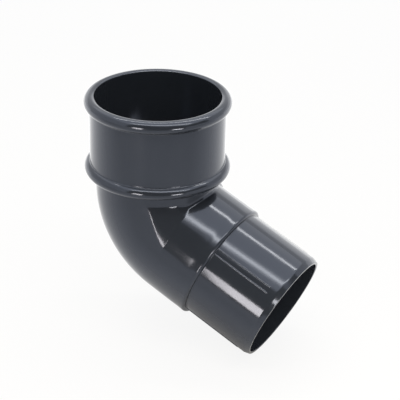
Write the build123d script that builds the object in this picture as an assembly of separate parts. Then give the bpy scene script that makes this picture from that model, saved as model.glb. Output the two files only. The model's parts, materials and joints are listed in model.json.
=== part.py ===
from build123d import *
import os
from math import sqrt

# Offset bend for a round rainwater downpipe, injection moulded in one piece from grey uPVC.
# A beaded socket on top takes the end of the downpipe. Below it the pipe turns through a bend with a
# round heel and a creased throat, runs straight, and steps in at a shoulder to a finely ribbed spigot
# that enters the next length of pipe.
#
# The socket's axis is +Z and the origin is the centre of the pipe stop at the socket's foot.
# The bend lies in the XZ plane and the spigot points towards +X and down.

# Driving dimensions, in millimetres and degrees
pipe_diameter = 68.0          # outside of the downpipe
socket_clearance = 0.5        # gap all round between the pipe and the socket
socket_wall = 2.75
socket_depth = 41.0           # pipe stop to the inner edge of the mouth
rim_bead_radius = 3.6         # round section of the rolled rim
rim_bead_reach = 40.05        # crown of the rim, from the axis
base_bead_radius = 3.3        # round section of the bead at the socket's foot
base_bead_reach = 40.15       # crown of that bead, from the axis
bead_root_radius = 0.8        # soft corner between a bead and the socket's wall
mouth_edge_radius = 0.4       # inner edge of the mouth, where the pipe slides in

body_radius = 34.1            # outside of the pipe body and of the bend
body_wall = 2.4
straight_above_bend = 11.1    # pipe stop to the start of the bend
bend_radius = 30.7            # of the centre line; less than the body's own radius
bend_turn = 67.5              # change of direction, which the trade calls a 112.5 degree bend
straight_below_bend = 26.1    # end of the bend to the shoulder

shoulder_radius = 1.6         # round on the shoulder's outer edge
shoulder_root_radius = 0.3
spigot_radius = 32.0
spigot_wall = 2.5
spigot_length = 42.6          # shoulder to the open end
bore_cone_length = 6.0        # inside, where the waterway narrows to the spigot's bore
lead_length = 3.0             # the spigot's end tapers in over this length
lead_tip_radius = 31.0
lead_start_radius = 4.0       # soft start of that taper
lead_edge_radius = 0.3

rib_pairs = 4                 # fine ribs along the spigot, which steady it in the pipe
rib_spacing = 6.2             # degrees between the two ribs of a pair
rib_height = 0.2              # above the spigot's skin
rib_half_width = 0.34         # where a rib meets that skin
rib_end_gap = 7.4             # from a rib's lower end to the spigot's end

# Worked out from the sizes above
socket_bore_radius = pipe_diameter / 2 + socket_clearance
socket_radius = socket_bore_radius + socket_wall
waterway_radius = body_radius - body_wall
spigot_bore_radius = spigot_radius - spigot_wall
rim_bead_centre = rim_bead_reach - rim_bead_radius
base_bead_centre = base_bead_reach - base_bead_radius
rib_round = (rib_half_width**2 + rib_height**2) / (2 * rib_height)
rim_bead_height = socket_depth - sqrt(rim_bead_radius**2 - (rim_bead_centre - socket_bore_radius) ** 2)
bend_top = -straight_above_bend
shoulder_level = bend_top - straight_below_bend
spigot_end = shoulder_level - spigot_length
bend_axis = Axis((bend_radius, 0, bend_top), (0, -1, 0))

# The leg below the bend is drawn straight down, as if the pipe had no bend, and is then swung
# round the bend's axis to where the bend brings it.
swing = Pos(bend_radius, 0, bend_top) * Rot(0, -bend_turn, 0) * Pos(-bend_radius, 0, -bend_top)


def half_section(*points):
    """A flat half section of something turned, from points given as radius and height."""
    return make_face(Polyline(*points, close=True))


def turned(section):
    """The solid that a half section makes round the socket's axis."""
    return revolve(Plane.XZ * section, Axis.Z)


def corners(section, radius, *heights):
    """The corners of a half section that lie at this radius and at one of these heights."""
    return [
        corner
        for corner in section.vertices()
        if abs(corner.X - radius) < 0.05 and any(abs(corner.Y - height) < 0.05 for height in heights)
    ]


def round_ends(radius, centre, bead_radius):
    """How far above and below its centre a round bead meets a wall of this radius."""
    return sqrt(bead_radius**2 - (radius - centre) ** 2)


def socket_outside():
    """The socket's wall with its rolled rim and the bead at its foot, and the pipe down to the bend."""
    wall = half_section(
        (0, bend_top),
        (body_radius, bend_top),
        (body_radius, -base_bead_radius),
        (base_bead_centre, -base_bead_radius),
        (socket_radius, 0),
        (socket_radius, rim_bead_height),
        (0, rim_bead_height),
    )
    rim_bead = Pos(rim_bead_centre, rim_bead_height) * Circle(rim_bead_radius)
    base_bead = Pos(base_bead_centre, 0) * Circle(base_bead_radius)
    section = wall + rim_bead + base_bead
    rim_root = rim_bead_height - round_ends(socket_radius, rim_bead_centre, rim_bead_radius)
    base_root = round_ends(socket_radius, base_bead_centre, base_bead_radius)
    roots = corners(section, socket_radius, rim_root, base_root)
    roots += corners(section, body_radius, -base_bead_radius)
    return turned(fillet(roots, bead_root_radius))


def swept_bend(radius):
    """The bend as a full round bar of this radius.

    The bar's section reaches past the bend's axis, so it is cut off there before it is swung.
    The crease at the throat is where the two straight legs then run into each other.
    """
    disc = Circle(radius)
    kept = Pos(bend_radius - radius, 0) * Rectangle(2 * radius, 3 * radius)
    section = Pos(0, 0, bend_top) * (disc & kept)
    return revolve(section, bend_axis, revolution_arc=bend_turn)


def spigot_ribs():
    """Fine round-topped ribs in pairs down the spigot, sunk in its wall so that only their tops stand out."""
    below = spigot_end + rib_end_gap + rib_half_width
    length = shoulder_level + rib_round - below
    bar = Sphere(rib_round) + Pos(0, 0, length / 2) * Cylinder(rib_round, length)
    rib = Pos(spigot_radius + rib_height - rib_round, 0, below) * bar
    places = PolarLocations(0, rib_pairs, start_angle=180 / rib_pairs)
    return [place * Rot(0, 0, side) * rib for place in places for side in (-rib_spacing / 2, rib_spacing / 2)]


def leg_outside():
    """The straight pipe below the bend, its rounded shoulder, and the ribbed spigot with its tapered end."""
    section = half_section(
        (0, bend_top),
        (body_radius, bend_top),
        (body_radius, shoulder_level),
        (spigot_radius, shoulder_level),
        (spigot_radius, spigot_end + lead_length),
        (lead_tip_radius, spigot_end),
        (0, spigot_end),
    )
    section = fillet(corners(section, body_radius, shoulder_level), shoulder_radius)
    section = fillet(corners(section, spigot_radius, shoulder_level), shoulder_root_radius)
    section = fillet(corners(section, spigot_radius, spigot_end + lead_length), lead_start_radius)
    section = fillet(corners(section, lead_tip_radius, spigot_end), lead_edge_radius)
    return swing * (turned(section) + spigot_ribs())


def socket_bore():
    """The space the pipe end fills, down to the pipe stop, and the waterway from there to the bend."""
    above = socket_depth + 2 * rim_bead_radius
    section = half_section(
        (0, bend_top),
        (waterway_radius, bend_top),
        (waterway_radius, 0),
        (socket_bore_radius, 0),
        (socket_bore_radius, above),
        (0, above),
    )
    return turned(section)


def leg_bore():
    """The waterway below the bend, narrowing in a cone to the spigot's bore."""
    below = spigot_end - 2 * lead_length
    section = half_section(
        (0, bend_top),
        (waterway_radius, bend_top),
        (waterway_radius, shoulder_level + bore_cone_length),
        (spigot_bore_radius, shoulder_level),
        (spigot_bore_radius, below),
        (0, below),
    )
    return swing * turned(section)


def offset_bend():
    """The whole moulding: its outside less the waterway that runs right through it."""
    outside = socket_outside() + swept_bend(body_radius) + leg_outside()
    inside = socket_bore() + swept_bend(waterway_radius) + leg_bore()
    moulding = outside - inside
    mouth_edge = moulding.edges().filter_by(GeomType.CIRCLE).sort_by(Axis.Z)[-1]
    return fillet(mouth_edge, mouth_edge_radius)


os.makedirs("parts", exist_ok=True)
export_step(offset_bend(), "parts/offset_bend.step")
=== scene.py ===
import bpy
import bmesh
import json
from math import atan2, ceil, cos, degrees, hypot, radians, sin, sqrt, tan
from mathutils import Matrix, Vector


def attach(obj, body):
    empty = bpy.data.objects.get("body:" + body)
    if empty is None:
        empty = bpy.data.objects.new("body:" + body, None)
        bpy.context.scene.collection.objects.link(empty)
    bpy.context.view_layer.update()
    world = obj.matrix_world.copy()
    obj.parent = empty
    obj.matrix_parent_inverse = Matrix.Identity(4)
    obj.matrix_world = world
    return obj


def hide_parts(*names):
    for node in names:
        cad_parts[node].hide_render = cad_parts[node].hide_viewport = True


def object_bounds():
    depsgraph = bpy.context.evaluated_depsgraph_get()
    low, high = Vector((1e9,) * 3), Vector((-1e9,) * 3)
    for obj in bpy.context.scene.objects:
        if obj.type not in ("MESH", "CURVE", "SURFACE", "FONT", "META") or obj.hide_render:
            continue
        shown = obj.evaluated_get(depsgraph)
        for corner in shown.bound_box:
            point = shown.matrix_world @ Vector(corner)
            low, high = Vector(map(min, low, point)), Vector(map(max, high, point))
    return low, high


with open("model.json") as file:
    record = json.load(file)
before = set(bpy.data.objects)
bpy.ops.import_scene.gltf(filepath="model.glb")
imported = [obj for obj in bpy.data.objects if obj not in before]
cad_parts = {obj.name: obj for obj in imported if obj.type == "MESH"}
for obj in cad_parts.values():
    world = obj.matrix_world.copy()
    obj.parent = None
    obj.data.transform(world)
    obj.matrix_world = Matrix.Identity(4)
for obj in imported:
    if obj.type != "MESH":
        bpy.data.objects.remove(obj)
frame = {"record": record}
cad_low, cad_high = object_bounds()
mm = 0.001

# The camera
# It stands where the photograph was taken from: a little to the right of the socket and above it,
# close enough for the far side of the mouth to look narrower than the near side.
view_turn = radians(30.42)      # round the socket's axis, from straight in front
view_rise = radians(27.49)
view_roll = radians(1.40)
view_distance = 693.0 * mm
view_target = Vector((27.4, 0.6, -15.0)) * mm
focal_length = 113.67           # on a sensor 36 mm wide

back = Vector((sin(view_turn) * cos(view_rise), -cos(view_turn) * cos(view_rise), sin(view_rise)))
level = Vector((cos(view_turn), sin(view_turn), 0))
upward = back.cross(level)
front = level.cross(Vector((0, 0, 1)))      # level, towards the camera
right = cos(view_roll) * level + sin(view_roll) * upward
top = back.cross(right)

camera = bpy.data.objects.new("camera", bpy.data.cameras.new("camera"))
bpy.context.scene.collection.objects.link(camera)
bpy.context.scene.camera = camera
camera.data.sensor_width = 36
camera.data.lens = focal_length
camera.data.clip_start = 10 * mm
camera.data.clip_end = 50
camera.matrix_world = Matrix.Translation(view_target + view_distance * back) @ Matrix(
    (right, top, back)).transposed().to_4x4()

# The fitting
# One moulding of rigid PVC, injected into a polished tool, so it has a smooth skin and small radii on
# every edge. A beaded socket takes the pipe above, and a stepped spigot enters the pipe below.
socket_mount, spigot_mount = frame["record"]["mounts"]
bore_radius = socket_mount["dims"]["r_mm"] * mm
socket_depth = 41.0 * mm                # pipe stop to where the mouth's edge would be, left square
spigot_radius = spigot_mount["dims"]["r_mm"] * mm
turn = atan2(spigot_mount["axis"][0], -spigot_mount["axis"][2])

socket_wall = 2.75 * mm
wall_radius = bore_radius + socket_wall
rim_radius = 3.6 * mm                   # round section of the rolled rim
rim_reach = 40.05 * mm                  # crown of the rim, from the axis
rim_centre = rim_reach - rim_radius
base_radius = 3.3 * mm                  # round section of the bead at the socket's foot
base_reach = 40.15 * mm                 # crown of that bead, from the axis
base_centre = base_reach - base_radius
root = 0.8 * mm                         # where a bead leaves the wall
lip = 0.4 * mm                          # inner edge of the mouth
body_radius = 34.1 * mm
waterway_radius = 31.7 * mm
bend_radius = 30.7 * mm                 # of the centre line
bend_top = -11.1 * mm
leg_length = 26.1 * mm                  # end of the bend to the shoulder
spigot_length = 42.6 * mm
shoulder_level = bend_top - leg_length
spigot_end = shoulder_level - spigot_length
sink_start = 11.6 * mm                  # above the shoulder: a shallow ring has sunk where the wall thickens
sink_lean = 0.9                         # degrees, into the ring
sink_entry = 300 * mm                   # radius of the skin where it leans in
sink_hollow = 50 * mm                   # and of the hollow
sink_rise = 2.4                         # degrees, out of it again
shoulder_round = 1.6 * mm
shoulder_root = 0.3 * mm
spigot_bore = 29.5 * mm
cone_length = 6 * mm                    # inside, where the waterway narrows to the spigot's bore
cone_round = 2 * mm                     # at both ends of that cone
lead_length = 3 * mm                    # the spigot's end tapers in over this length
lead_round = 4 * mm                     # soft start of that taper
tip_radius = 31 * mm
edge = 0.3 * mm                         # radius on the small edges
throat_radius = 0.8 * mm                # of the crease inside the bend
crease_softness = 0.25 * mm
neck_length = -base_radius - root - bend_top    # the plain pipe between the foot bead and the bend
settling_length = 12 * mm               # of leg over which the mitre's slant runs out
rib_height = 0.2 * mm                   # fine ribs that steady the spigot in the pipe
rib_half_width = 0.34 * mm
rib_end = spigot_end + 7.4 * mm
rib_half_spacing = 3.1                  # degrees, between the ribs of a pair
rib_places = [middle + side * rib_half_spacing for middle in (-135, -45, 45, 135) for side in (-1, 1)]

# The bend is flat on both sides of the throat. Angles are in degrees.
flat_edge = 66.5                        # from the throat to a flat side's outer edge, at its upper end
flat_edge_below = 76.5                  # and at its lower end
flat_full = -3.0                        # the side is fully flat up to this far short of its edge
flat_gone = 6.5                         # and the bend is round again this far past it
flatness = 0.84                         # 0 is the round of the bend, 1 is straight
flat_length = 18.6 * mm                 # along the bend, nominal
flat_lap = 1.7 * mm                     # onto the straight pipe at either end
flat_lap_run_out = 4 * mm               # nearer than this to the bend's axis, that runs out
flat_kink = 0.6 * mm                    # shading rounds the kink at the upper end over this much
flat_kink_below = 0.08 * mm             # and the one at the lower end

columns = 184                           # round the pipe
fine_margin = 4                         # degrees beside a flat side's edge with a column at each degree
rows_in_bend = 46
support = 0.15 * mm                     # a row this close beside each radius keeps the flats flat
touching = 0.001 * mm                   # points closer than this are one
hair = 0.01 * mm                        # a radius that differs by less is the same


def arc(centre, radius, start, end, steps):
    """Points on an arc of the half section, as radius and height. Angles are in degrees."""
    turns = [radians(start + (end - start) * i / steps) for i in range(steps + 1)]
    return [(centre[0] + radius * cos(t), centre[1] + radius * sin(t)) for t in turns]


def onward(start, facing, new_facing, radius, steps):
    """An arc onward from a point of the skin, which turns the way it faces. Below 0 the radius is hollow."""
    centre = (start[0] - radius * cos(radians(facing)), start[1] - radius * sin(radians(facing)))
    return arc(centre, radius, facing, new_facing, steps)


def rounded(before, corner, after, radius, steps):
    """The arc that rounds a corner between two straight lines."""
    a = (Vector(before) - Vector(corner)).normalized()
    b = (Vector(after) - Vector(corner)).normalized()
    half = a.angle(b) / 2
    middle = Vector(corner) + (a + b).normalized() * radius / sin(half)
    reach = radius / sin(half) * cos(half)
    first = Vector(corner) + a * reach - middle
    last = Vector(corner) + b * reach - middle
    start = degrees(atan2(first.y, first.x))
    sweep = (degrees(atan2(last.y, last.x)) - start + 180) % 360 - 180
    return arc(middle, radius, start, start + sweep, steps)


def beside_bead(wall, radius, bead_centre, bead_level, bead, side, inside=False):
    """The small arc that joins a straight wall to a round bead, and the angle where it meets the bead."""
    apart = bead - radius if inside else bead + radius
    across = wall + radius - bead_centre
    along = side * sqrt(apart**2 - across**2)
    centre = (bead_centre + across, bead_level + along)
    met = degrees(atan2(along, across))
    return arc(centre, radius, 180, met if inside else met + 180, 8), met


def half_section():
    """The closed outline of the wall, as lists of rounds that straight lines join, in order."""
    rim_level = socket_depth - sqrt(rim_radius**2 - (rim_centre - bore_radius) ** 2)
    lip_arc, lip_met = beside_bead(bore_radius, lip, rim_centre, rim_level, rim_radius, 1, inside=True)
    rim_root, rim_met = beside_bead(wall_radius, root, rim_centre, rim_level, rim_radius, -1)
    base_root, base_met = beside_bead(wall_radius, root, base_centre, 0, base_radius, 1)
    outside_above = [
        lip_arc,
        arc((rim_centre, rim_level), rim_radius, lip_met, rim_met, 36),
        rim_root[::-1],
        base_root,
        arc((base_centre, 0), base_radius, base_met, -90, 30),
        arc((body_radius + root, -base_radius - root), root, 90, 180, 8),
        [(body_radius, bend_top + flat_lap + x) for x in (flat_kink, 0, -flat_kink, -flat_lap)],
    ]
    sink_entered = onward((body_radius, shoulder_level + sink_start), 0, -sink_lean, sink_entry, 6)
    sink_left = onward(sink_entered[-1], -sink_lean, sink_rise, -sink_hollow, 14)
    shoulder_start = shoulder_level + shoulder_round * (1 + sin(radians(sink_rise)))
    rise_length = sink_left[-1][1] - shoulder_start
    shoulder_top = (sink_left[-1][0] + rise_length * tan(radians(sink_rise)), shoulder_start)
    rib_tip = [(spigot_radius, rib_end + rib_half_width * share) for share in (2, 1, 0.5, 0.13, 0)]
    lead_start = (spigot_radius, spigot_end + lead_length)
    tip_outside = (tip_radius, spigot_end)
    tip_inside = (spigot_bore, spigot_end)
    cone_end = (spigot_bore, shoulder_level)
    cone_start = (waterway_radius, shoulder_level + cone_length)
    outside_below = [
        sink_entered + sink_left[1:],
        onward(shoulder_top, sink_rise, -90, shoulder_round, 14),
        arc((spigot_radius + shoulder_root, shoulder_level - shoulder_root), shoulder_root, 90, 180, 5),
        rib_tip,
        rounded((spigot_radius, 0), lead_start, tip_outside, lead_round, 6),
        rounded(lead_start, tip_outside, tip_inside, edge, 6),
        rounded(tip_outside, tip_inside, cone_end, edge, 6),
        rounded(tip_inside, cone_end, cone_start, cone_round, 4),
        rounded(cone_end, cone_start, (waterway_radius, 0), cone_round, 4),
        [(waterway_radius, bend_top)],
    ]
    inside_above = [
        rounded((waterway_radius, bend_top), (waterway_radius, 0), (bore_radius, 0), edge, 5),
        rounded((waterway_radius, 0), (bore_radius, 0), (bore_radius, socket_depth), edge, 5),
        lip_arc[:1],
    ]
    return outside_above, outside_below, inside_above


def rows(rounds, longest=4 * mm):
    """Points along a run of rounds, with a support point beside each and none further apart than asked."""
    points = list(rounds[0])
    for following in rounds[1:]:
        start, end = points[-1], following[0]
        length = hypot(end[0] - start[0], end[1] - start[1])
        if length > 3 * support:
            inner = length - 2 * support
            count = max(1, ceil(inner / longest))
            for i in range(count + 1):
                share = (support + inner * i / count) / length
                across = (end[0] - start[0]) * share
                along = (end[1] - start[1]) * share
                points.append((start[0] + across, start[1] + along))
        elif length < touching:
            points.pop()
        points += following
    return points


def rib_share(radius, height):
    """How much of a rib's height stands on the skin here. It rounds off at the rib's lower end."""
    if radius < spigot_radius - hair or not rib_end < height < shoulder_level:
        return 0.0
    above_skin = (spigot_radius + rib_height - radius) / rib_height
    short_of_end = max(0.0, (rib_end + rib_half_width - height) / rib_half_width)
    return min(max(above_skin, 0.0), 1.0) * sqrt(max(0.0, 1 - short_of_end**2))


def on_flat(radius, travel, turned):
    """How far along the bend's flat sides a point of the outside lies, and 1 if they reach it, or 0."""
    if abs(radius - body_radius) > hair or abs(travel) > flat_lap + hair:
        return 0.0, 0.0
    return (flat_lap + travel + turned * flat_length) / (2 * flat_lap + flat_length), 1.0


def section_wire():
    """The half section as loose points that carry radius, travel past the bend, turn and rib share.

    The last two numbers say how far along the bend's flat sides a point lies, and whether they reach it.
    """
    above, below, inside = half_section()
    bend = [i / rows_in_bend for i in range(1, rows_in_bend)]
    kink_rows = (flat_lap, flat_kink_below, 0, -flat_kink_below)
    lap_below = [(body_radius, bend_top - flat_lap + x) for x in kink_rows]
    waterway_start = [(waterway_radius, bend_top)]
    found = [(r, bend_top - h, 0.0, 0.0) + on_flat(r, bend_top - h, 0.0) for r, h in rows(above)]
    found += [(body_radius, 0.0, share, 0.0) + on_flat(body_radius, 0.0, share) for share in bend]
    for r, h in rows([lap_below] + below):
        found.append((r, bend_top - h, 1.0, rib_share(r, h)) + on_flat(r, bend_top - h, 1.0))
    found += [(waterway_radius, 0.0, share, 0.0, 0.0, 0.0) for share in reversed(bend)]
    found += [(r, bend_top - h, 0.0, 0.0, 0.0, 0.0) for r, h in rows([waterway_start] + inside)]
    return wire("section", ("radius", "travel", "turned", "on_rib", "flat_share", "on_flat"), found)


def ring_wire():
    """The angles of the columns round the pipe, closer together over each rib and each flat side's edge."""
    across = degrees(rib_half_width / spigot_radius)
    profile = [(-1.5, 0.0)] + [(x, sqrt(1 - x * x)) for x in (-1, -0.9, -0.6, 0, 0.6, 0.9, 1)] + [(1.5, 0.0)]
    fine_start = flat_edge - fine_margin
    fine_end = flat_edge_below + fine_margin
    plain = [-180 + 360 * (i + 0.5) / columns for i in range(columns)]
    plain = [a for a in plain if all(abs(a - rib) > 2 * across for rib in rib_places)]
    plain = [a for a in plain if not fine_start < abs(a) < fine_end]
    fine = [side * (fine_start + i) for side in (-1, 1) for i in range(int(fine_end - fine_start) + 1)]
    ribs = [(rib + x * across, height) for rib in rib_places for x, height in profile]
    found = sorted([(a, 0.0) for a in plain + fine] + ribs)
    found.append((found[0][0] + 360, found[0][1]))
    return wire("ring", ("angle", "on_rib"), [(radians(a), height) for a, height in found])


def wire(name, fields, values):
    """Loose points that hold one number for each field."""
    mesh = bpy.data.meshes.new(name)
    mesh.from_pydata([(0, 0, 0)] * len(values), [], [])
    for place, field in enumerate(fields):
        mesh.attributes.new(field, "FLOAT", "POINT").data.foreach_set("value", [v[place] for v in values])
    made = bpy.data.objects.new(name, mesh)
    bpy.context.scene.collection.objects.link(made)
    return made


def add_node(tree, kind, links=(), **settings):
    """Adds a node and sets what is named. Its inputs are fed in order, or by name, from values or nodes."""
    node = tree.nodes.new(kind)
    for key, value in settings.items():
        setattr(node, key, value)
    for key, value in links.items() if isinstance(links, dict) else enumerate(links):
        if isinstance(value, bpy.types.Node):
            value = value.outputs[0]
        if isinstance(value, bpy.types.NodeSocket):
            tree.links.new(value, node.inputs[key])
        else:
            node.inputs[key].default_value = value
    return node


def bending_tree(material):
    """Carries the half section round the pipe and through the bend, and closes it into one skin."""
    tree = bpy.data.node_groups.new("bend the section", "GeometryNodeTree")
    face = tree.interface
    face.new_socket("Section", in_out="INPUT", socket_type="NodeSocketObject")
    face.new_socket("Ring", in_out="INPUT", socket_type="NodeSocketObject")
    for name in ("Bend radius", "Bend top", "Turn", "Throat radius", "Crease softness", "Neck length",
                 "Settling length", "Rib height", "Flat edge", "Flat widening", "Flat full", "Flat gone",
                 "Flatness", "Flat lap", "Flat lap run out"):
        face.new_socket(name, in_out="INPUT", socket_type="NodeSocketFloat")
    face.new_socket("Skin", in_out="OUTPUT", socket_type="NodeSocketGeometry")
    given = add_node(tree, "NodeGroupInput").outputs
    maths = "ShaderNodeMath"

    # A grid has a row for each point of the section and a column for each angle of the ring.
    section = add_node(tree, "GeometryNodeObjectInfo", {"Object": given["Section"]}).outputs["Geometry"]
    ring = add_node(tree, "GeometryNodeObjectInfo", {"Object": given["Ring"]}).outputs["Geometry"]
    section_count = add_node(tree, "GeometryNodeAttributeDomainSize", (section,)).outputs["Point Count"]
    ring_count = add_node(tree, "GeometryNodeAttributeDomainSize", (ring,)).outputs["Point Count"]
    grid = add_node(tree, "GeometryNodeMeshGrid", {
        "Size X": 1.0, "Size Y": 1.0, "Vertices X": section_count, "Vertices Y": ring_count,
    }).outputs["Mesh"]
    position = add_node(tree, "GeometryNodeInputPosition")
    place = add_node(tree, "ShaderNodeSeparateXYZ", (position,)).outputs
    numbers = []
    for share, count in ((place[0], section_count), (place[1], ring_count)):
        from_first = add_node(tree, maths, (share, 0.5), operation="ADD")
        gaps = add_node(tree, maths, (count, 1.0), operation="SUBTRACT")
        numbers.append(add_node(tree, maths, (from_first, gaps), operation="MULTIPLY"))
    row, column = numbers

    def sampled(source, field, number):
        """What the point of this number carries in a field."""
        value = add_node(tree, "GeometryNodeInputNamedAttribute", {"Name": field}, data_type="FLOAT")
        index = add_node(tree, maths, (number,), operation="ROUND")
        links = {"Geometry": source, "Value": value, "Index": index}
        return add_node(tree, "GeometryNodeSampleIndex", links, data_type="FLOAT")

    # Each point's radius, with the rib's height on it, and its place in the level section of the pipe.
    on_rib = (sampled(section, "on_rib", row), sampled(ring, "on_rib", column))
    rib = add_node(tree, maths, on_rib, operation="MULTIPLY")
    raised = add_node(tree, maths, (rib, given["Rib height"]), operation="MULTIPLY")
    radius = add_node(tree, maths, (sampled(section, "radius", row), raised), operation="ADD")
    travel = sampled(section, "travel", row)
    angle = sampled(ring, "angle", column)
    cosine = add_node(tree, maths, (angle,), operation="COSINE")
    sine = add_node(tree, maths, (angle,), operation="SINE")
    x = add_node(tree, maths, (radius, cosine), operation="MULTIPLY")
    y = add_node(tree, maths, (radius, sine), operation="MULTIPLY")

    # How far each point turns about: its distance from the bend's axis, but never less than the
    # throat's own small radius, with a soft change from one to the other.
    depth = add_node(tree, maths, (given["Bend radius"], x), operation="SUBTRACT")
    beyond = add_node(tree, maths, (depth, given["Throat radius"]), operation="SUBTRACT")
    beyond_squared = add_node(tree, maths, (beyond, 2.0), operation="POWER")
    softness_squared = add_node(tree, maths, (given["Crease softness"], 2.0), operation="POWER")
    squares = add_node(tree, maths, (beyond_squared, softness_squared), operation="ADD")
    softened = add_node(tree, maths, (squares,), operation="SQRT")
    lowest = add_node(tree, maths, (depth, given["Throat radius"]), operation="ADD")
    twice_reach = add_node(tree, maths, (lowest, softened), operation="ADD")
    reach = add_node(tree, maths, (twice_reach, 0.5), operation="MULTIPLY")

    # Points that turn about less than their distance would ask start higher, along the mitre's slant.
    half_turn = add_node(tree, maths, (given["Turn"], 0.5), operation="MULTIPLY")
    slant = add_node(tree, maths, (half_turn,), operation="TANGENT")
    added_reach = add_node(tree, maths, (reach, depth), operation="SUBTRACT")
    shift = add_node(tree, maths, (added_reach, slant), operation="MULTIPLY")

    # The mitre moves the throat's points along the pipe, and that runs out over a length of it.
    way = add_node(tree, maths, (travel,), operation="SIGN")
    length = add_node(tree, maths, (travel,), operation="ABSOLUTE")
    above = add_node(tree, maths, (travel, 0.0), operation="LESS_THAN")
    below = add_node(tree, maths, (1.0, above), operation="SUBTRACT")
    run_out_above = add_node(tree, maths, (above, given["Neck length"]), operation="MULTIPLY")
    run_out_below = add_node(tree, maths, (below, given["Settling length"]), operation="MULTIPLY")
    run_out = add_node(tree, maths, (run_out_above, run_out_below), operation="ADD")
    run_so_far = add_node(tree, maths, (length, run_out), operation="DIVIDE")
    run_share = add_node(tree, maths, (run_so_far, 1.0), operation="MINIMUM")
    moved = add_node(tree, maths, (shift, run_share), operation="MULTIPLY")
    remaining = add_node(tree, maths, (length, moved), operation="SUBTRACT")
    along = add_node(tree, maths, (way, remaining), operation="MULTIPLY")

    # The point is swung about its pivot on the bend's axis.
    inward = add_node(tree, maths, (reach, -1.0), operation="MULTIPLY")
    upward_along = add_node(tree, maths, (along, -1.0), operation="MULTIPLY")
    arm = add_node(tree, "ShaderNodeCombineXYZ", (inward, y, upward_along))
    turned = add_node(tree, maths, (sampled(section, "turned", row), given["Turn"]), operation="MULTIPLY")
    swing = {"Vector": arm, "Axis": (0.0, -1.0, 0.0), "Angle": turned}
    swung = add_node(tree, "ShaderNodeVectorRotate", swing)
    pivot_across = add_node(tree, maths, (x, reach), operation="ADD")
    pivot_level = add_node(tree, maths, (given["Bend top"], shift), operation="ADD")
    pivot = add_node(tree, "ShaderNodeCombineXYZ", (pivot_across, 0.0, pivot_level))
    placed = add_node(tree, "ShaderNodeVectorMath", (pivot, swung), operation="ADD")

    # The bend's flat sides go straight from the pipe above to the pipe below.
    lap_share = add_node(tree, maths, (reach, given["Flat lap run out"]), operation="DIVIDE", use_clamp=True)
    lap = add_node(tree, maths, (given["Flat lap"], lap_share), operation="MULTIPLY")
    ends = []
    for side, end_turn in ((1.0, 0.0), (-1.0, given["Turn"])):
        lapped = add_node(tree, maths, (lap, side), operation="MULTIPLY")
        end_arm = add_node(tree, "ShaderNodeCombineXYZ", (inward, y, lapped))
        end_swing = {"Vector": end_arm, "Axis": (0.0, -1.0, 0.0), "Angle": end_turn}
        end_swung = add_node(tree, "ShaderNodeVectorRotate", end_swing)
        ends.append(add_node(tree, "ShaderNodeVectorMath", (pivot, end_swung), operation="ADD"))
    flat_share = sampled(section, "flat_share", row)
    straight = add_node(tree, "ShaderNodeMix", {0: flat_share, 4: ends[0], 5: ends[1]}, data_type="VECTOR")
    widened = add_node(tree, maths, (given["Flat widening"], flat_share), operation="MULTIPLY")
    edge_here = add_node(tree, maths, (given["Flat edge"], widened), operation="ADD")
    from_throat = add_node(tree, maths, (angle,), operation="ABSOLUTE")
    past_edge = add_node(tree, maths, (from_throat, edge_here), operation="SUBTRACT")
    inside_edge = add_node(tree, "ShaderNodeMapRange", {
        "Value": past_edge, "From Min": given["Flat gone"], "From Max": given["Flat full"],
    }, interpolation_type="SMOOTHSTEP")
    on_flat_rows = sampled(section, "on_flat", row)
    on_flat_side = add_node(tree, maths, (inside_edge, on_flat_rows), operation="MULTIPLY")
    flattened = add_node(tree, maths, (on_flat_side, given["Flatness"]), operation="MULTIPLY")
    mixed = {0: flattened, 4: placed, 5: straight.outputs[1]}
    final = add_node(tree, "ShaderNodeMix", mixed, data_type="VECTOR").outputs[1]

    skin = add_node(tree, "GeometryNodeSetPosition", {"Geometry": grid, "Position": final})
    skin = add_node(tree, "GeometryNodeMergeByDistance", {"Geometry": skin, "Distance": touching})
    skin = add_node(tree, "GeometryNodeSetShadeSmooth", {"Geometry": skin})
    skin = add_node(tree, "GeometryNodeRealizeInstances", {"Geometry": skin})
    skin = add_node(tree, "GeometryNodeSetMaterial", {"Geometry": skin, "Material": material})
    add_node(tree, "NodeGroupOutput", (skin,))
    return tree


def colour(hex_code):
    """A colour given as sRGB hex, as the linear values that shaders take."""
    parts = [int(hex_code[i:i + 2], 16) / 255 for i in (1, 3, 5)]
    return tuple(p / 12.92 if p <= 0.04045 else ((p + 0.055) / 1.055) ** 2.4 for p in parts) + (1.0,)


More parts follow.
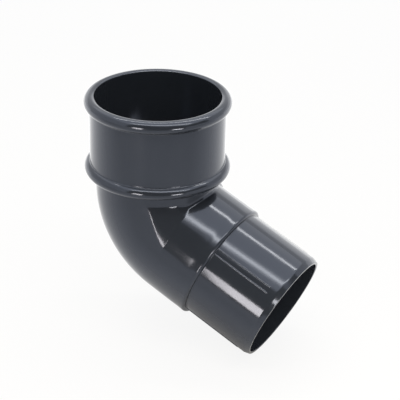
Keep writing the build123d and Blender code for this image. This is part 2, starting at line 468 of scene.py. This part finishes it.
def moulded_upvc():
    """Rigid PVC, pigmented through, moulded in a polished tool: a glossy skin with a faint waviness."""
    material = bpy.data.materials.new("moulded uPVC")
    material.use_nodes = True
    tree = material.node_tree
    skin = tree.nodes["Principled BSDF"]
    skin.inputs["IOR"].default_value = 1.6
    # The reflections are tinted pale blue. This is a painted colour of the tent's light, not one that the
    # PVC has.
    skin.inputs["Specular Tint"].default_value = colour("#DCE6FF")
    place = add_node(tree, "ShaderNodeTexCoord").outputs["Object"]
    # Pigment is mixed in unevenly by a trace, in clouds a couple of centimetres across.
    clouds = add_node(tree, "ShaderNodeTexNoise", {"Vector": place, "Scale": 1 / (20 * mm), "Detail": 2.0})
    pigment = add_node(tree, "ShaderNodeValToRGB", {"Fac": clouds.outputs["Fac"]})
    pigment.color_ramp.elements[0].position = 0.3
    pigment.color_ramp.elements[0].color = colour("#292D34")
    pigment.color_ramp.elements[1].position = 0.7
    pigment.color_ramp.elements[1].color = colour("#2B2F36")
    tree.links.new(pigment.outputs["Color"], skin.inputs["Base Color"])
    # The skin is a touch duller where the melt cooled faster.
    dull = add_node(tree, "ShaderNodeTexNoise", {"Vector": place, "Scale": 1 / (9 * mm), "Detail": 3.0})
    gloss = add_node(tree, "ShaderNodeMapRange", {
        "Value": dull.outputs["Fac"], "From Min": 0.3, "From Max": 0.7, "To Min": 0.10, "To Max": 0.14,
    })
    tree.links.new(gloss.outputs["Result"], skin.inputs["Roughness"])
    # Shrinkage leaves a waviness of a few millimetres, far too shallow to feel.
    waves = add_node(tree, "ShaderNodeTexNoise", {"Vector": place, "Scale": 1 / (6 * mm), "Detail": 1.0})
    bump = add_node(tree, "ShaderNodeBump", {
        "Height": waves.outputs["Fac"], "Strength": 0.15, "Distance": 0.02 * mm,
    })
    tree.links.new(bump.outputs["Normal"], skin.inputs["Normal"])
    return material


def moulded_fitting():
    """The fitting's skin as a plain mesh."""
    upvc = moulded_upvc()
    tree = bending_tree(upvc)
    section, ring = section_wire(), ring_wire()
    blank = bpy.data.objects.new("blank", bpy.data.meshes.new("blank"))
    bpy.context.scene.collection.objects.link(blank)
    bend = blank.modifiers.new("bend", "NODES")
    bend.node_group = tree
    sizes = {
        "Section": section, "Ring": ring, "Bend radius": bend_radius, "Bend top": bend_top, "Turn": turn,
        "Throat radius": throat_radius, "Crease softness": crease_softness, "Neck length": neck_length,
        "Settling length": settling_length, "Rib height": rib_height,
        "Flat edge": radians(flat_edge), "Flat widening": radians(flat_edge_below - flat_edge),
        "Flat full": radians(flat_full), "Flat gone": radians(flat_gone), "Flatness": flatness,
        "Flat lap": flat_lap, "Flat lap run out": flat_lap_run_out,
    }
    for socket in tree.interface.items_tree:
        if socket.name in sizes:
            bend[socket.identifier] = sizes[socket.name]
    evaluated = blank.evaluated_get(bpy.context.evaluated_depsgraph_get())
    mesh = bpy.data.meshes.new_from_object(evaluated)
    mesh.name = "moulded_offset_bend"
    for spent in (blank, section, ring):
        bpy.data.objects.remove(spent)
    check = bmesh.new()
    check.from_mesh(mesh)
    if check.calc_volume(signed=True) < 0:
        bmesh.ops.reverse_faces(check, faces=check.faces)
        check.to_mesh(mesh)
    check.free()
    return mesh


fitting = bpy.data.objects.new("moulded_offset_bend", moulded_fitting())
bpy.context.scene.collection.objects.link(fitting)
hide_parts("offset_bend")
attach(fitting, "root")

# The floor
# A wide sheet of matt white acrylic that the spigot's lower edge touches. It isn't part of the fitting.
floor_reach = 6.0                       # metres, from the middle to each side
floor_gap = 0.05 * mm
floor_level = cad_low.z - floor_gap
floor_seen = 0.88                       # share of paper white in what the camera sees of it
wash_start = 150 * mm                   # in front of the socket's axis, the washed part begins
wash_end = -250 * mm                    # behind it, the wash is full
wash_weak = 0.7
wash_strong = 1.9
shadow_core = 20 * mm                   # up to here from the shadow's middle, reflections keep all of it
shadow_end = 90 * mm                    # and from here on they keep little
shadow_kept = 0.1                       # share of paper white in reflections of the shadow's middle
shadow_lost = 0.85                      # and of the floor far from it

floor_mesh = bpy.data.meshes.new("floor")
corners = [(x * floor_reach, y * floor_reach, floor_level) for x, y in ((-1, -1), (1, -1), (1, 1), (-1, 1))]
floor_mesh.from_pydata(corners, [], [(0, 1, 2, 3)])
floor = bpy.data.objects.new("floor", floor_mesh)
bpy.context.scene.collection.objects.link(floor)


def spot(across, forward, height):
    """A place in the studio: to the right and towards the camera from the socket's axis, and up."""
    return across * level + forward * front + Vector((0, 0, height))


def white_acrylic():
    """Matt white sheet, nearly paper white to the camera, with a pale shadow.

    Behind the object it is washed with more light, which only the object's reflections show.
    """
    material = bpy.data.materials.new("white acrylic")
    material.use_nodes = True
    tree = material.node_tree
    sheet = tree.nodes["Principled BSDF"]
    sheet.inputs["Base Color"].default_value = colour("#EDEDED")
    sheet.inputs["Roughness"].default_value = 0.5
    path = add_node(tree, "ShaderNodeLightPath").outputs
    place = add_node(tree, "ShaderNodeTexCoord").outputs["Object"]
    depth = add_node(tree, "ShaderNodeVectorMath", (place, tuple(front)), operation="DOT_PRODUCT")
    washed = add_node(tree, "ShaderNodeMapRange", {
        "Value": depth.outputs["Value"], "From Min": wash_start, "From Max": wash_end,
        "To Min": wash_weak, "To Max": wash_strong,
    })
    levels = {0: path["Is Glossy Ray"], 2: 1.0, 3: washed}
    level_seen = add_node(tree, "ShaderNodeMix", levels, data_type="FLOAT")
    paper = add_node(tree, "ShaderNodeEmission", {"Color": (1, 1, 1, 1), "Strength": level_seen})
    # Close to the spigot the reflections keep the floor's shadow too.
    shadow_middle = spot(35 * mm, 38 * mm, floor_level)
    apart = add_node(tree, "ShaderNodeVectorMath", (place, tuple(shadow_middle)), operation="DISTANCE")
    paper_share = add_node(tree, "ShaderNodeMapRange", {
        "Value": apart.outputs["Value"], "From Min": shadow_core, "From Max": shadow_end,
        "To Min": shadow_kept, "To Max": shadow_lost,
    })
    maths = "ShaderNodeMath"
    glossy_share = add_node(tree, maths, (paper_share, path["Is Glossy Ray"]), operation="MULTIPLY")
    camera_share = add_node(tree, maths, (path["Is Camera Ray"], floor_seen), operation="MULTIPLY")
    share = add_node(tree, maths, (glossy_share, camera_share), operation="MAXIMUM")
    mixed = add_node(tree, "ShaderNodeMixShader", (share, sheet, paper))
    tree.links.new(mixed.outputs[0], tree.nodes["Material Output"].inputs["Surface"])
    return material


floor_mesh.materials.append(white_acrylic())

# The studio
# A white tent round the object with two lamp strips under its roof, which run from left to right as
# the camera sees them, and two small lamps low in front. Its front is open to a dark room.
world = bpy.data.worlds.new("white tent")
bpy.context.scene.world = world
world.use_nodes = True
sky = world.node_tree
tent_light = 0.26                       # what the tent gives to dull surfaces, where 1 is its white
path = add_node(sky, "ShaderNodeLightPath").outputs
seen = add_node(sky, "ShaderNodeMath", (path["Is Camera Ray"], path["Is Glossy Ray"]), operation="MAXIMUM")
seen = add_node(sky, "ShaderNodeMath", (seen, path["Is Transmission Ray"]), operation="MAXIMUM")
strength = add_node(sky, "ShaderNodeMapRange", {"Value": seen, "To Min": tent_light, "To Max": 1.0})
sky.links.new(strength.outputs[0], sky.nodes["Background"].inputs["Strength"])
sky.nodes["Background"].inputs["Color"].default_value = (1, 1, 1, 1)

white_power = 4.0                       # watts per square metre of a lamp that looks as white as the tent
strip_length = 700 * mm
strip_middle = 60 * mm                  # to the right of the socket's axis
strip_tint = "#FFF8E7"
object_middle = spot(20 * mm, 0, -30 * mm)


def lamp(name, place, aim, width, height, brightness, tint="#FFFFFF", side=level):
    """A flat soft lamp of even brightness, where 1 is the white of the background."""
    light = bpy.data.lights.new(name, "AREA")
    light.shape = "RECTANGLE"
    light.size = width
    light.size_y = height
    light.energy = white_power * width * height * brightness
    light.color = colour(tint)[:3]
    holder = bpy.data.objects.new(name, light)
    bpy.context.scene.collection.objects.link(holder)
    toward = (aim - place).normalized()
    along = side.normalized()
    along = (along - along.dot(toward) * toward).normalized()
    upright = -toward.cross(along)
    holder.matrix_world = Matrix.Translation(place) @ Matrix((along, upright, -toward)).transposed().to_4x4()
    holder.visible_camera = False
    return holder


lamp("front strip core", spot(strip_middle, 231 * mm, 500 * mm), object_middle,
     width=strip_length, height=50 * mm, brightness=4.6, tint=strip_tint)
lamp("front strip glow", spot(strip_middle, 232 * mm, 502 * mm), object_middle,
     width=strip_length, height=120 * mm, brightness=1.6, tint=strip_tint)
lamp("rear strip", spot(strip_middle, -157 * mm, 500 * mm), object_middle,
     width=strip_length, height=45 * mm, brightness=8.0, tint=strip_tint)
lamp("roof", spot(strip_middle, -160 * mm, 640 * mm), spot(strip_middle, -160 * mm, 0),
     width=1200 * mm, height=1300 * mm, brightness=0.55)
lamp("back wall", spot(0, -650 * mm, 100 * mm), spot(0, 0, 100 * mm),
     width=2600 * mm, height=380 * mm, brightness=0.45)
low_left = spot(-201 * mm, 400 * mm, 6 * mm)
low_left_tilt = radians(18)
tilted = cos(low_left_tilt) * level - sin(low_left_tilt) * Vector((0, 0, 1))
lamp("low left lamp", low_left, low_left - front,
     width=120 * mm, height=118 * mm, brightness=11.5, tint="#FFF1DF", side=tilted)
lamp("low right lamp", spot(125 * mm, 220 * mm, -5 * mm), object_middle,
     width=60 * mm, height=50 * mm, brightness=11.0, tint="#FFF4E4")


def dark_card(name, *corners):
    """An upright black card in the tent's opening, which only reflections show. It paints dark reflections
    that stand for the unlit room, and it neither lights, shades nor casts a shadow.

    Its corners are in millimetres: to the right, towards the camera and up from the socket's axis.
    """
    mesh = bpy.data.meshes.new(name)
    mesh.from_pydata([spot(*(x * mm for x in corner)) for corner in corners], [], [range(len(corners))])
    card = bpy.data.objects.new(name, mesh)
    bpy.context.scene.collection.objects.link(card)
    material = bpy.data.materials.new("black card for painted dark reflections")
    material.use_nodes = True
    card_shader = material.node_tree.nodes["Principled BSDF"]
    card_shader.inputs["Base Color"].default_value = colour("#202022")
    card_shader.inputs["Roughness"].default_value = 0.9
    mesh.materials.append(material)
    card.visible_camera = False
    card.visible_diffuse = False
    card.visible_shadow = False
    return card


# Painted dark reflections: black cards that only reflections show, where the room beyond the opening is
# unlit.
dark_card("opening", (-112, 450, -94), (420, 450, -94), (420, 450, 520), (-112, 450, 520))
dark_card("opening left", (-420, 450, -20), (-300, 450, -80), (-112, 450, -80), (-112, 450, 520),
          (-20, 450, 850), (-420, 450, 850))
dark_card("opening right", (420, 60, 90), (420, 450, 90), (420, 450, 330), (420, 60, 330))

bpy.context.scene.view_settings.view_transform = "Standard"
